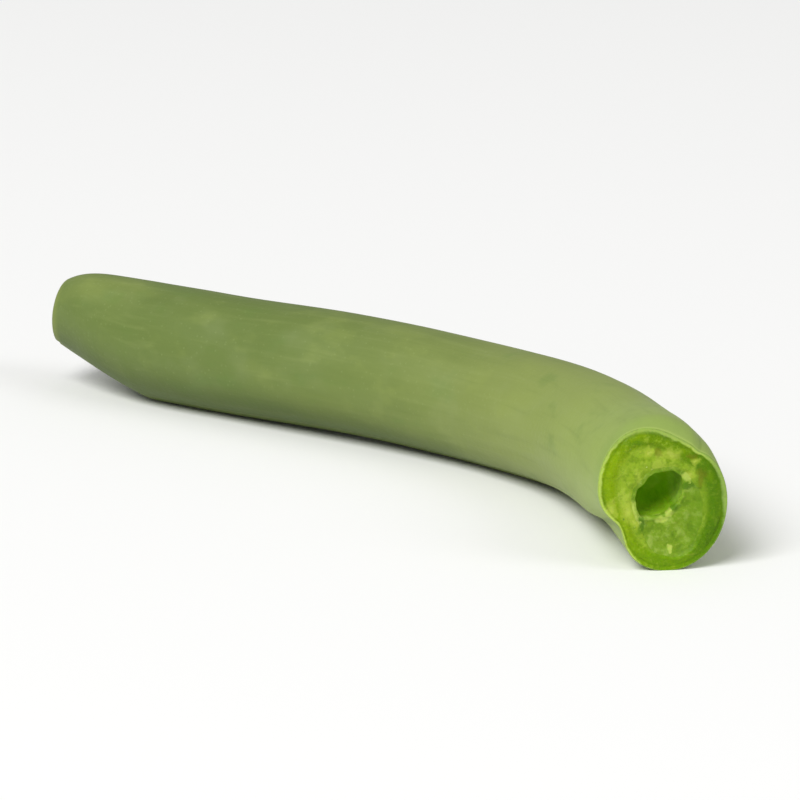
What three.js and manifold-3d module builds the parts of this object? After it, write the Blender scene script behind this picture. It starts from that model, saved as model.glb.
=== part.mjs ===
// A trimmed green bean pod, lying on its side: one grown piece, cut through at its thick end and
// nipped at its thin end. Millimetres, +Z up. The pod rests on the plane z = 0, with +X from the
// thin end to the thick end, its bow towards +Y, and its origin under the middle of its box.

import * as THREE from "three";
import { mergeVertices } from "three/addons/utils/BufferGeometryUtils.js";
import Module from "manifold-3d";

// Driving dimensions, in mm and degrees.
const LENGTH = 73; // along the middle of the pod, from end to end
const DIAMETER = 9;
const STRAIGHT_RUN = 30; // from the thin end to where the bend starts
const BEND_END = 71.4; // along the pod, where the bend is complete
const BEND = 45;
const START_HEADING = 12.6; // of the straight run, from +X towards +Y

// The thin end narrows from three sides, and most from below. Its nipped face stands askew.
const TIP_WIDTH = 4.6;
const TIP_TAPER = 14; // length over which its two sides run out to the full width
const TIP_DROP = { end: 1, length: 6.2, power: 3.5 }; // of its top below the pod's own
const TIP_LIFT = { end: 3, length: 9.8, power: 1.2 }; // of its underside above the surface
const NIP_SLANT = 16; // its side towards +Y stands out by this angle
const NIP_LEAN = 4.5; // and its underside by this one
const NIP_LENGTH = 5; // of pod that takes up both

const FLARE_LENGTH = 14; // over which the thick end turns from round to oval
const CUT_WIDTH = 8.9;
const CUT_HEIGHT = 10.5;
const CUT_TURN = 12.5; // the oval's upper end leans towards -Y by this angle
const CUT_SLANT = 5; // the cut face leans back by this much
const CUT_SLANT_LENGTH = 6; // of pod that takes up the lean

// The skin's edge is worn round above the cut, by depth at an angle round the pod.
const SHOULDER = { middle: 72, width: 36, depth: 0.95, length: 3 };

const SEED_PITCH = 11;
const FIRST_SEED = 14; // from the thin end
const SEED_SWELL = 0.11; // on each side, over a seed

// The two sutures run along the pod. Angles go round it from the bow's outer side (+Y) over the top.
const VENTRAL = { body: 243, cut: 216, depth: 0.14, cutDepth: 0.88, width: 8, cutWidth: 21 };
const DORSAL = { body: 62, cut: 50, depth: 0.06, cutDepth: 0.14, width: 6, cutWidth: 7 };

const REST_PITCH = 27; // between the three places where the pod touches the surface
const FIRST_REST = 15; // from the thin end
const REST_ARCH = 0.24; // of the underside between two of those places
const REST_PRESS = 0.1; // each place is pressed flat by this much

// The seed chamber, open in the cut face: a shallow oval floor of tissue, and a deeper hollow beside it.
// Each narrows from its mouth to the share taper of its width, its last round mm are rounded off, and
// its long way is turned by turn degrees from upright towards the right.
const CHAMBER = {
  right: 0.6, up: -1.3, width: 4.4, height: 5.9, turn: 0, depth: 0.3, taper: 0.9, round: 0.15,
};
const HOLLOW = {
  right: -0.2, up: 0.1, width: 2.7, height: 3.8, turn: 50, depth: 3.8, taper: 0.7, round: 1.4,
};
const MOUTH_CLEARANCE = 1; // how far the cutting shapes stand out of the face

// Facets.
const SIDES = 44;
const RINGS = 62;
const RING_CROWDING = 0.6; // of the rings towards both ends
const PIT_SIDES = 24;
const PIT_BOTTOM_STEPS = 6;
const RIM_SOFTENING = 0.25;
const CENTRELINE_STEP = 0.25;

const { lerp, smoothstep, degToRad } = THREE.MathUtils;
const RADIUS = DIAMETER / 2;
const UP = new THREE.Vector3(0, 0, 1);

// How far a place is into the oval thick end: 0 on the body, 1 at the cut.
const towardsCut = (s) => smoothstep(s, LENGTH - FLARE_LENGTH, LENGTH);

// The tip's drop or lift at a distance s from the nipped end.
const tipShape = ({ end, length, power }, s) => end * Math.max(1 - s / length, 0) ** power;

// Direction of the pod at a distance s from its thin end.
function heading(s) {
  return degToRad(START_HEADING - BEND * smoothstep(s, STRAIGHT_RUN, BEND_END));
}

function halfHeight(s) {
  const plain = RADIUS - (tipShape(TIP_DROP, s) + tipShape(TIP_LIFT, s)) / 2;
  return plain * lerp(1, CUT_HEIGHT / DIAMETER, towardsCut(s));
}

function halfWidth(s) {
  const taper = Math.sin((Math.min(s / TIP_TAPER, 1) * Math.PI) / 2);
  return lerp(TIP_WIDTH / 2, RADIUS, taper) * lerp(1, CUT_WIDTH / DIAMETER, towardsCut(s));
}

// How far the oval leans from upright, in radians.
const ovalTurn = (s) => degToRad(CUT_TURN) * towardsCut(s);

// 1 at an angle round the pod, and 0 away from it. Its middle and width are in degrees.
function bell(angle, middle, width) {
  const turn = angle - degToRad(middle);
  const away = Math.atan2(Math.sin(turn), Math.cos(turn)) / degToRad(width);
  return Math.exp(-away * away);
}

// Depth of a suture's groove at an angle.
function groove(suture, s, angle) {
  const t = towardsCut(s);
  const middle = lerp(suture.body, suture.cut, t);
  const width = lerp(suture.width, suture.cutWidth, t);
  return lerp(suture.depth, suture.cutDepth, t) * bell(angle, middle, width);
}

// How far the shoulder takes the skin in at an angle.
function shoulderDrop(s, angle) {
  const { middle, width, depth, length } = SHOULDER;
  const share = Math.max(s - LENGTH + length, 0) / length;
  return depth * share ** 3 * bell(angle, middle, width);
}

// Swelling over the seeds, on the two flanks between the sutures.
function seedSwelling(s, angle) {
  const flank = Math.sin(angle - degToRad(VENTRAL.body)) ** 2;
  const along = Math.cos(((s - FIRST_SEED) * 2 * Math.PI) / SEED_PITCH);
  const faded = smoothstep(s, TIP_TAPER / 4, TIP_TAPER) * (1 - towardsCut(s));
  return SEED_SWELL * flank * along * faded;
}

// Distance of the skin from the pod's middle.
function skinRadius(s, angle) {
  const turned = angle - ovalTurn(s);
  const oval = 1 / Math.hypot(Math.cos(turned) / halfWidth(s), Math.sin(turned) / halfHeight(s));
  const grooves = groove(VENTRAL, s, angle) + groove(DORSAL, s, angle);
  return oval + seedSwelling(s, angle) - grooves - shoulderDrop(s, angle);
}

// Height of the pod's middle above the surface.
function middleHeight(s) {
  const wave = (Math.max(s - FIRST_REST, 0) * 2 * Math.PI) / REST_PITCH;
  const arch = (REST_ARCH / 2) * (1 - Math.cos(wave));
  const turn = ovalTurn(s);
  const below = Math.hypot(halfHeight(s) * Math.cos(turn), halfWidth(s) * Math.sin(turn));
  return below - REST_PRESS + arch + tipShape(TIP_LIFT, s);
}

// The pod's middle, its direction and its level sideways direction at a distance s.
function section(s) {
  const steps = Math.max(Math.round(s / CENTRELINE_STEP), 1);
  const middle = new THREE.Vector3(0, 0, middleHeight(s));
  for (let i = 0; i < steps; i++) {
    const turn = heading(((i + 0.5) * s) / steps);
    middle.x += (Math.cos(turn) * s) / steps;
    middle.y += (Math.sin(turn) * s) / steps;
  }
  const along = new THREE.Vector3(Math.cos(heading(s)), Math.sin(heading(s)), 0);
  return { middle, along, side: new THREE.Vector3().crossVectors(UP, along) };
}

// A straight pod of unit radius about the Y axis: nipped end, skin, cut face.
function straightPod() {
  const outline = [new THREE.Vector2(0, 0), new THREE.Vector2(1 - RIM_SOFTENING / 2, 0)];
  for (let i = 0; i <= RINGS; i++) {
    const turn = (i / RINGS) * 2 * Math.PI;
    const share = (turn - RING_CROWDING * Math.sin(turn)) / (2 * Math.PI);
    outline.push(new THREE.Vector2(1, lerp(RIM_SOFTENING, LENGTH, share)));
  }
  outline.push(new THREE.Vector2(0, LENGTH));
  return new THREE.LatheGeometry(outline, SIDES);
}

// Lays the straight pod along its middle line and gives it its own section all along.
function layAlong(geometry) {
  const position = geometry.attributes.position;
  const vertex = new THREE.Vector3();
  for (let i = 0; i < position.count; i++) {
    vertex.fromBufferAttribute(position, i);
    const s = vertex.y;
    const angle = Math.atan2(vertex.x, vertex.z);
    const reach = Math.hypot(vertex.x, vertex.z) * skinRadius(s, angle);
    const across = reach * Math.cos(angle);
    const above = reach * Math.sin(angle);
    const cutLean = -Math.tan(degToRad(CUT_SLANT)) * above;
    const nipLean = Math.tan(degToRad(NIP_LEAN)) * above - Math.tan(degToRad(NIP_SLANT)) * across;
    const { middle, along, side } = section(s);
    vertex.copy(middle).addScaledVector(side, across).addScaledVector(UP, above);
    vertex.addScaledVector(along, cutLean * smoothstep(s, LENGTH - CUT_SLANT_LENGTH, LENGTH));
    vertex.addScaledVector(along, nipLean * (1 - smoothstep(s, 0, NIP_LENGTH)));
    vertex.z = Math.max(vertex.z, 0);
    position.setXYZ(i, vertex.x, vertex.y, vertex.z);
  }
  return geometry;
}

// An oval pit in the cut face that narrows to a rounded bottom, with its mouth clear of the face.
function pit({ right, up, width, height, turn, depth, taper, round }) {
  const bottom = new THREE.EllipseCurve(0, round - depth, taper, round, -Math.PI / 2, 0);
  const outline = bottom.getPoints(PIT_BOTTOM_STEPS);
  outline[0].x = 0;
  outline.push(new THREE.Vector2(1, 0));
  outline.push(new THREE.Vector2(1, MOUTH_CLEARANCE));
  outline.push(new THREE.Vector2(0, MOUTH_CLEARANCE));
  const { middle, along, side } = section(LENGTH);
  const basis = new THREE.Matrix4().makeBasis(UP, along, side);
  const place = middle.clone().addScaledVector(side, right).addScaledVector(UP, up);
  place.addScaledVector(along, -Math.tan(degToRad(CUT_SLANT)) * up);
  return new THREE.LatheGeometry(outline, PIT_SIDES)
    .scale(height / 2, 1, width / 2)
    .rotateY(-degToRad(turn))
    .applyMatrix4(basis)
    .translate(place.x, place.y, place.z);
}

const wasm = await Module();
wasm.setup();

function toSolid(geometry) {
  geometry.deleteAttribute("normal");
  geometry.deleteAttribute("uv");
  const merged = mergeVertices(geometry, 1e-4);
  const triVerts = new Uint32Array(merged.index.array);
  return new wasm.Manifold(
    new wasm.Mesh({ numProp: 3, vertProperties: merged.attributes.position.array, triVerts }),
  );
}

function toGeometry(solid) {
  const { vertProperties, triVerts } = solid.getMesh();
  const geometry = new THREE.BufferGeometry();
  geometry.setAttribute("position", new THREE.BufferAttribute(vertProperties, 3));
  geometry.setIndex(new THREE.BufferAttribute(triVerts, 1));
  return geometry;
}

function makePod() {
  const whole = toSolid(layAlong(straightPod()));
  const geometry = toGeometry(whole.subtract(toSolid(pit(CHAMBER))).subtract(toSolid(pit(HOLLOW))));
  geometry.computeBoundingBox();
  const middle = geometry.boundingBox.getCenter(new THREE.Vector3());
  geometry.translate(-middle.x, -middle.y, 0);
  geometry.computeVertexNormals();
  const skin = new THREE.MeshStandardMaterial({ color: 0x84965a, roughness: 0.62, metalness: 0 });
  const pod = new THREE.Mesh(geometry, skin);
  pod.name = "pod";
  return pod;
}

const bean = new THREE.Group();
bean.add(makePod());

export default bean;
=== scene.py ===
# %% [markdown]
# # A trimmed green bean
#
# A green bean is the young pod of the bean plant, picked before its seeds swell. This one has been
# trimmed for cooking: a knife went through its thick end, where the seed chamber now lies open, and
# its thin end was nipped off. It is one grown piece, so one mesh stands for all of it, with a finish
# each for the waxy skin, the wet cut flesh, the chamber and the dry nipped end.
#
# The lesson makes it the way it grew: the line that it follows, a straight pod, then the rule that
# swells it over its seeds, sinks its seams and lays it along the line.

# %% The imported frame
import math

import bpy
import numpy as np
from mathutils import Matrix, Vector


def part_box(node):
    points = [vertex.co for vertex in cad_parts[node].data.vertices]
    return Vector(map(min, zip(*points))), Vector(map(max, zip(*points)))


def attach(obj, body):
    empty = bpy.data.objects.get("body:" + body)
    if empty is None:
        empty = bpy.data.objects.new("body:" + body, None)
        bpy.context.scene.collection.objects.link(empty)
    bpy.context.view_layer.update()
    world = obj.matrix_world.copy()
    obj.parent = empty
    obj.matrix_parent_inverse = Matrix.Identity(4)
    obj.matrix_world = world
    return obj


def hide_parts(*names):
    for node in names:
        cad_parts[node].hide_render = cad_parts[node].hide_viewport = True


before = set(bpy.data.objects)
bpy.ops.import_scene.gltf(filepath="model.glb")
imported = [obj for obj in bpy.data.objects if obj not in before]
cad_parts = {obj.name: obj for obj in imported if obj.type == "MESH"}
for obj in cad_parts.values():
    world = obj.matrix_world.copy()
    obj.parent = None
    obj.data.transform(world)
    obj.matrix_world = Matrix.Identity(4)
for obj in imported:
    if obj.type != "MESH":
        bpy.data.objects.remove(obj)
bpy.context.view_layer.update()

MM = 0.001
POD_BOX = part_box("pod")
print("the pod's box in mm:", [round(v / MM, 1) for v in POD_BOX[1] - POD_BOX[0]])

# %% [markdown]
# ## Small helpers
#
# Colour pickers give colours as sRGB hex, but a shader adds light, so it needs linear values, and one
# function turns the one into the other. Every node in this lesson is added by one function too, which
# sets the node's options and feeds its inputs with plain values, sockets or whole nodes.

# %% Colours and nodes
MATH = "ShaderNodeMath"
VECTOR = "ShaderNodeVectorMath"
RANGE = "ShaderNodeMapRange"  # its inputs are a value, two bounds, and what these two become
NOISE = "ShaderNodeTexNoise"
SPLIT = "ShaderNodeSeparateXYZ"
JOIN = "ShaderNodeCombineXYZ"
SMOOTH = {"interpolation_type": "SMOOTHSTEP"}


def linear(code):
    """An sRGB hex colour as linear red, green, blue and alpha."""
    channels = [int(code[i : i + 2], 16) / 255 for i in (1, 3, 5)]
    return [c / 12.92 if c <= 0.04045 else ((c + 0.055) / 1.055) ** 2.4 for c in channels] + [1.0]


def feed(node, inputs):
    """Sets inputs, each by its name or number, from a value, a socket or a node."""
    for key, value in inputs.items():
        if isinstance(value, bpy.types.Node):
            value = value.outputs[0]
        if isinstance(value, bpy.types.NodeSocket):
            node.id_data.links.new(value, node.inputs[key])
        else:
            node.inputs[key].default_value = value


def add(tree, kind, inputs=(), operation=None, **options):
    """Adds a node with its inputs, by name or in order, its operation if it has one, and its options."""
    node = tree.nodes.new(kind)
    if operation:
        node.operation = operation
    for name, value in options.items():
        setattr(node, name, value)
    feed(node, inputs if isinstance(inputs, dict) else dict(enumerate(inputs)))
    return node


# %% [markdown]
# ## The line that the pod follows
#
# A pod hangs from its stalk and bends towards the light as it grows. This one runs straight for not
# quite half its length and then turns through 45 degrees. A Bezier curve could be dragged into that
# shape, but its length would have to be measured and corrected. Short steps along a turning heading
# give the same bow with an exact length, and every later step is placed by distance along it.

# %% The middle line
LENGTH = 73 * MM
STRAIGHT_RUN = 30 * MM
BEND_END = 71.4 * MM
BEND = 45
START_HEADING = 12.6
LINE_STEPS = 320


def ease(value, low, high):
    """0 below low, 1 above high, and a smooth step between."""
    t = np.clip((value - low) / (high - low), 0, 1)
    return t * t * (3 - 2 * t)


def middle_line():
    """Points of the middle line at equal steps, on the surface."""
    ends = np.linspace(0, LENGTH, LINE_STEPS + 1)
    bent = ease((ends[1:] + ends[:-1]) / 2, STRAIGHT_RUN, BEND_END)
    turn = np.radians(START_HEADING - BEND * bent)
    steps = np.column_stack([np.cos(turn), np.sin(turn)]) * ends[1]
    points = np.zeros((LINE_STEPS + 1, 3))
    points[1:, :2] = np.cumsum(steps, axis=0)
    return points


def in_scene(name, data):
    """A new object with this data, linked into the scene."""
    made = bpy.data.objects.new(name, data)
    bpy.context.scene.collection.objects.link(made)
    return made


curve = bpy.data.curves.new("bow", "CURVE")
curve.dimensions = "3D"
spline = curve.splines.new("POLY")
spline.points.add(LINE_STEPS)
spline.points.foreach_set("co", np.pad(middle_line(), ((0, 0), (0, 1)), constant_values=1).ravel())
bow = in_scene("bow", curve)
print("middle line:", len(spline.points), "points")

# %% [markdown]
# ## A straight pod
#
# A cut across the pod would be nearly round, 9 mm thick. Over its last 14 mm it turns into an oval of
# 8.9 by 10.5 mm that leans a little, its upper edge worn round at the end. The thin end narrows to 4.6
# by 5 mm, mostly from below. Lofted curves or a subdivision surface could give such a body, but both
# drift away from the sizes. So the mesh is written ring by ring, from the middle of the nipped end over
# the skin to the bottom of the seed chamber, as one closed surface.

# %% Sizes of the section
DIAMETER = 9 * MM
TIP_WIDTH = 4.6 * MM
TIP_TAPER = 14 * MM
TIP_DROP = (1 * MM, 6.2 * MM, 3.5)  # an amount, how far it reaches, and how quickly it fades
TIP_LIFT = (3 * MM, 9.8 * MM, 1.2)
FLARE_LENGTH = 14 * MM
CUT_WIDTH = 8.9 * MM
CUT_HEIGHT = 10.5 * MM
CUT_TURN = math.radians(12.5)
SHOULDER_LENGTH = 3 * MM
SHOULDER = (0.95 * MM, SHOULDER_LENGTH, 3)
SHOULDER_AT, SHOULDER_WIDTH = math.radians(72), math.radians(36)
AROUND = 200
ANGLES = np.arange(AROUND) * 2 * np.pi / AROUND
ROUND = np.column_stack([np.cos(ANGLES), np.sin(ANGLES)])


def bell(away, width):
    """A bell curve: 1 in its middle, about a third one width away, and soon 0."""
    return np.exp(-((away / width) ** 2))


def fading(s, amount, length, power):
    return amount * np.maximum(1 - s / length, 0) ** power


def half_sizes(s):
    """Half the width and half the height of the section at a distance s, and how far it leans."""
    oval = ease(s, LENGTH - FLARE_LENGTH, LENGTH)
    taper = np.sin(np.clip(s / TIP_TAPER, 0, 1) * np.pi / 2)
    width = (TIP_WIDTH + (DIAMETER - TIP_WIDTH) * taper) / 2 * (1 + (CUT_WIDTH / DIAMETER - 1) * oval)
    height = (DIAMETER - fading(s, *TIP_DROP) - fading(s, *TIP_LIFT)) / 2
    height = height * (1 + (CUT_HEIGHT / DIAMETER - 1) * oval)
    return width, height, CUT_TURN * oval


def outline(s):
    """The section's outline, across and above the middle."""
    wide, high, turn = half_sizes(s)
    oval = 1 / np.hypot(np.cos(ANGLES - turn) / wide, np.sin(ANGLES - turn) / high)
    away = (ANGLES - SHOULDER_AT + np.pi) % (2 * np.pi) - np.pi
    worn = fading(LENGTH - s, *SHOULDER) * bell(away, SHOULDER_WIDTH)
    return ROUND * (oval - worn)[:, None]


for s in (0, LENGTH / 2, LENGTH):
    print("section at", round(s / MM, 1), "mm:", [round(float(2 * v) / MM, 2) for v in half_sizes(s)[:2]])

# %% [markdown]
# ## The seed chamber
#
# Behind the flesh the pod is hollow where the seeds sit. In the cut face that shows as an oval bed of
# soft, glassy tissue, a little sunk, with a deep hollow at its upper left that slants to the right. A
# boolean could punch both, but its long thin triangles would catch the light on a wet face. Rings that
# close in steps, from the skin to the bed and on to the hollow, keep the mesh even. Both outlines are
# distances from the middle of the hollow, which gets a few soft corners, since the tissue around it
# parts along its seams and never in a clean curve.

# %% Outlines of the chamber and the hollow
CHAMBER_AT = np.array([0.6, -1.3]) * MM
CHAMBER_SIZE = np.array([4.4, 5.9]) * MM
CHAMBER_DEPTH = 0.3 * MM
HOLLOW_AT = np.array([-0.2, 0.1]) * MM
HOLLOW_SIZE = np.array([2.7, 3.8]) * MM
HOLLOW_TURN = math.radians(50)
HOLLOW_DEPTH = 3.8 * MM
HOLLOW_TAPER = 0.7
CORNERS, CORNER_SHARE = 6, 0.03  # how many corners, and the share of its reach by which each stands out
LEDGE = 0.3 * MM  # of bed that is left where the hollow meets the chamber's edge
BLENDED = 9  # power of the blend between the two outlines there
RAGGED = 0.01
RAGGED_WAVES = (3, 5, 7, 11, 17)  # round a ring
random = np.random.default_rng(seed=11)


def reach(centre, size, turn=0.0):
    """Distances from the hollow's middle to an oval that leans right of upright by turn."""
    across = np.array([math.cos(turn), -math.sin(turn)])
    upright = np.array([math.sin(turn), math.cos(turn)])
    axes = np.column_stack([across, upright]) / (size / 2)
    start, step = (HOLLOW_AT - centre) @ axes, ROUND @ axes
    a, b, c = (step**2).sum(axis=1), step @ start, start @ start - 1
    return (np.sqrt(b * b - a * c) - b) / a


def raggedness(amount):
    """A few seeded waves round a ring, as shares of its reach."""
    waves = [np.cos(k * ANGLES + random.uniform(0, 2 * np.pi)) for k in RAGGED_WAVES]
    return 1 + amount * np.sum(waves, axis=0)


corners = 1 + CORNER_SHARE * np.cos(CORNERS * (ANGLES - HOLLOW_TURN))
hollow_reach = reach(HOLLOW_AT, HOLLOW_SIZE, HOLLOW_TURN) * corners * raggedness(RAGGED)
chamber_reach = reach(CHAMBER_AT, CHAMBER_SIZE) * raggedness(RAGGED)
chamber_reach = (chamber_reach**BLENDED + (hollow_reach + LEDGE) ** BLENDED) ** (1 / BLENDED)
chamber = HOLLOW_AT + ROUND * chamber_reach[:, None]
hollow = HOLLOW_AT + ROUND * hollow_reach[:, None]
print("thinnest wall in mm:", round(np.linalg.norm(outline(LENGTH) - chamber, axis=1).min() / MM, 2))

# %% [markdown]
# ## Rings
#
# Each ring is kept with what later steps need to know: which finish its faces take, how much of the
# skin's relief it follows (all of it on the skin, none at the chamber), how far in from the skin it
# lies, because the flesh changes colour with that, and how deep in the chamber.

# %% The rings of the nipped end and the skin
ALONG, ACROSS, ABOVE, PLACE, ZONE, FOLLOWS, INWARD, DEEP = range(8)
SKIN, FLESH, CHAMBER, NIPPED = range(4)
TIP_RINGS, RIM_RINGS, SKIN_RINGS, SHOULDER_RINGS = 18, 6, 280, 40
TIP_DIMPLE = 0.3 * MM
INNERMOST = 0.05  # share of the nipped end inside its first ring
RIM = 0.25 * MM
CUT_EDGE = 0.04 * MM
rings = []


def ring(x, flat, zone, follows, inward=0.0, deep=0.0, at=None):
    """Keeps a ring: x along the pod, flat its outline, at the place whose height it has."""
    along = np.broadcast_to(x, AROUND)
    place = np.clip(along if at is None else np.full(AROUND, at), 0, LENGTH)
    values = [np.broadcast_to(v, AROUND) for v in (zone, follows, inward, deep)]
    rings.append(np.column_stack([along, flat, place, *values]))


for share in np.linspace(INNERMOST, 1 - RIM / TIP_WIDTH * 2, TIP_RINGS):
    ring(TIP_DIMPLE * (1 - share**2) ** 2, outline(0) * share, NIPPED, share, at=0)
for turn in np.linspace(0, np.pi / 2, RIM_RINGS)[1:]:
    pulled = RIM * (1 - math.sin(turn))
    sunk = RIM * (1 - math.cos(turn))
    ring(sunk, outline(sunk) * (1 - pulled / (TIP_WIDTH / 2)), SKIN, 1.0)
on_skin = np.linspace(RIM, LENGTH - SHOULDER_LENGTH, SKIN_RINGS)[1:]
turns = np.linspace(0, np.pi / 2, SHOULDER_RINGS)[1:]
on_shoulder = LENGTH - SHOULDER_LENGTH + (SHOULDER_LENGTH - CUT_EDGE) * np.sin(turns)
for s in (*on_skin, *on_shoulder):
    ring(s, outline(s), SKIN, 1.0)
print("rings up to the cut:", len(rings))

# %% [markdown]
# The face starts with a bevel of 0.04 mm, because even a knife's crisp edge isn't perfectly sharp. Just
# inside the skin runs a thin broken gutter, where the tough skin and the softer flesh part here and
# there. The outer flesh stands a tenth of a millimetre proud, as crisp wet flesh does once the knife
# is through, and sinks again towards the rim of the chamber.

# %% The rings of the cut face
FACE_RINGS, FACE_CROWDING = 56, 1.2
GUTTER, GUTTER_AT, GUTTER_WIDTH = 0.05 * MM, 0.34 * MM, 0.08 * MM
GUTTER_SHARE, GUTTER_CONTRAST, GUTTER_RAGGED = 0.3, 12, 0.05
OUTER_FLESH, OUTER_AT, OUTER_WIDTH = 0.12 * MM, 0.85 * MM, 0.36 * MM
INNER_FLESH, INNER_AT, INNER_WIDTH = 0.03 * MM, 0.82, 0.1  # the last two as shares of the wall
MOUTH_DROP, MOUTH_WIDTH = 0.05 * MM, 0.07
rim = outline(LENGTH)
wall = np.linalg.norm(rim - chamber, axis=1)
parting = GUTTER * np.clip(GUTTER_SHARE + GUTTER_CONTRAST * (raggedness(GUTTER_RAGGED) - 1), 0, 1)


def face_relief(depth, share):
    """Height of the face over its plane, from the depth in from the skin and the share of the wall."""
    outer = OUTER_FLESH * bell(depth - OUTER_AT, OUTER_WIDTH)
    inner = INNER_FLESH * bell(share - INNER_AT, INNER_WIDTH)
    gutter = parting * bell(depth - GUTTER_AT, GUTTER_WIDTH)
    return outer + inner - gutter - MOUTH_DROP * bell(share - 1, MOUTH_WIDTH)


ring(LENGTH, rim * (1 - CUT_EDGE / rim.max()), FLESH, 1.0, inward=CUT_EDGE)
for share in np.linspace(0, 1, FACE_RINGS)[1:] ** FACE_CROWDING:
    depth = np.maximum(wall * share, CUT_EDGE)
    flat = rim + (chamber - rim) * share
    ring(LENGTH + face_relief(depth, share), flat, FLESH, 1 - share, inward=depth)
print("rings up to the chamber:", len(rings))

# %% [markdown]
# The bed slopes down from its rim and lies nearly level, a little swollen in its middle. Around the
# hollow a torn membrane stands up as a lip, highest at the lower right.

# %% The rings of the chamber and its hollow
BED_RINGS, HOLLOW_RINGS = 22, 26
BED_SLOPE = 1.0 * MM
BED_SWELL, SWELL_RISE, SWELL_FALL = 0.12 * MM, 0.6, 0.3  # the last two as shares of the widest gap
LIP, LIP_AT = 0.2 * MM, 0.14 * MM
LIP_ANGLE, LIP_POWER, LIP_RAGGED = math.radians(287), 3, 0.06
BOTTOM_FROM, BOTTOM_WIDTH = 1.5, 0.15  # the last rings keep some width, or they would close on a point
gap = np.linalg.norm(chamber - hollow, axis=1)
lower_right = (0.5 + 0.5 * np.cos(ANGLES - LIP_ANGLE)) ** LIP_POWER * raggedness(LIP_RAGGED)
mouth_depth = 0
for share in np.linspace(0, 1, BED_RINGS)[1:]:
    inside, outside = gap * (1 - share), gap * share
    floor_depth = MOUTH_DROP + (CHAMBER_DEPTH - MOUTH_DROP) * ease(outside, 0, BED_SLOPE)
    risen = ease(outside, 0, gap.max() * SWELL_RISE) * ease(inside, 0, gap.max() * SWELL_FALL)
    lip = LIP * bell(inside - LIP_AT, LIP_AT) * lower_right
    mouth_depth = floor_depth - BED_SWELL * risen - lip
    flat = chamber + (hollow - chamber) * share
    ring(LENGTH - mouth_depth, flat, CHAMBER, 0, inward=wall + outside, deep=mouth_depth, at=LENGTH)
for turn in np.linspace(0, np.pi / 2, HOLLOW_RINGS)[1:]:
    sunk = mouth_depth + (HOLLOW_DEPTH - mouth_depth) * math.sin(turn)
    rounded = math.cos(turn) ** 0.5 if turn < BOTTOM_FROM else BOTTOM_WIDTH
    narrow = (HOLLOW_TAPER + (1 - HOLLOW_TAPER) * math.cos(turn)) * rounded
    flat = HOLLOW_AT + (hollow - HOLLOW_AT) * narrow
    ring(LENGTH - sunk, flat, CHAMBER, 0, inward=wall + gap, deep=sunk, at=LENGTH)
rings = np.array(rings)
print("rings in all:", rings.shape[0], "of", rings.shape[1], "points")

# %% [markdown]
# ## From rings to a closed mesh
#
# Neighbouring rings are joined by quads, and each end closes on a single point. Neither end is square
# to the pod: the cut leans back at its top, and the nipped end stands askew. So every point near an
# end moves along the pod by its height and its place across, times a slant. What each ring knows is
# stored on the mesh as named attributes, which Geometry Nodes and the materials read by name.

# %% Heights that the pod rests at, and its slanted ends
FIRST_REST = 15 * MM
REST_PITCH = 27 * MM
REST_ARCH = 0.24 * MM
REST_PRESS = 0.1 * MM
CUT_SLANT, CUT_SLANT_LENGTH = math.tan(math.radians(5)), 6 * MM
NIP_SLANT, NIP_LEAN = math.tan(math.radians(16)), math.tan(math.radians(4.5))
NIP_LENGTH = 5 * MM


def middle_height(s):
    wide, high, turn = half_sizes(s)
    below = np.hypot(high * np.cos(turn), wide * np.sin(turn))
    wave = np.maximum(s - FIRST_REST, 0) * 2 * np.pi / REST_PITCH
    return below - REST_PRESS + (1 - np.cos(wave)) * REST_ARCH / 2 + fading(s, *TIP_LIFT)


def slanted(across, above, s):
    """How far the slants of the two ends move a point along the pod."""
    cut = -CUT_SLANT * above * ease(s, LENGTH - CUT_SLANT_LENGTH, LENGTH)
    nip = (NIP_LEAN * above - NIP_SLANT * across) * (1 - ease(s, 0, NIP_LENGTH))
    return cut + nip


print("middle height at the nipped end in mm:", round(float(middle_height(0)) / MM, 2))

# %% The straight mesh


def straight_pod(name, rings):
    first, last = rings[0].mean(axis=0), rings[-1].mean(axis=0)
    first[ALONG], last[ALONG] = TIP_DIMPLE, LENGTH - HOLLOW_DEPTH
    rows = np.vstack([rings.reshape(-1, rings.shape[2]), first, last])
    rows[:, ALONG] += slanted(rows[:, ACROSS], rows[:, ABOVE], rows[:, PLACE])
    here = np.arange(AROUND)
    after = (here + 1) % AROUND
    end = (len(rings) - 1) * AROUND
    starts = np.arange(0, end, AROUND)[:, None]
    quad = [starts + here, starts + after, starts + AROUND + after, starts + AROUND + here]
    sides = np.stack(quad, axis=2)
    pole = end + AROUND
    faces = sides.reshape(-1, 4).tolist()
    faces += np.column_stack([np.full(AROUND, pole), after, here]).tolist()
    faces += np.column_stack([end + here, end + after, np.full(AROUND, pole + 1)]).tolist()
    zones = np.repeat(rings[1:, 0, ZONE], AROUND).tolist() + [NIPPED] * AROUND + [CHAMBER] * AROUND
    mesh = bpy.data.meshes.new(name)
    mesh.from_pydata(rows[:, :3].tolist(), [], faces)
    known = {"height": middle_height(rows[:, PLACE])}
    known.update(follows=rows[:, FOLLOWS], inward=rows[:, INWARD], deep=rows[:, DEEP])
    for key, values in known.items():
        mesh.attributes.new(key, "FLOAT", "POINT").data.foreach_set("value", values)
    mesh.attributes.new("zone", "INT", "FACE").data.foreach_set("value", np.array(zones, dtype=int))
    mesh.polygons.foreach_set("use_smooth", [True] * len(faces))
    mesh.update()
    return in_scene(name, mesh)


pod = straight_pod("green_bean_pod", rings)
print("straight pod:", len(pod.data.vertices), "points,", len(pod.data.polygons), "faces")

# %% [markdown]
# ## The finishes
#
# The materials come before the Geometry Nodes, because the trees hand them out. Each one starts as an
# empty shader and gets its nodes in a cell of its own further down.

# %% Names of the finishes


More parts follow.
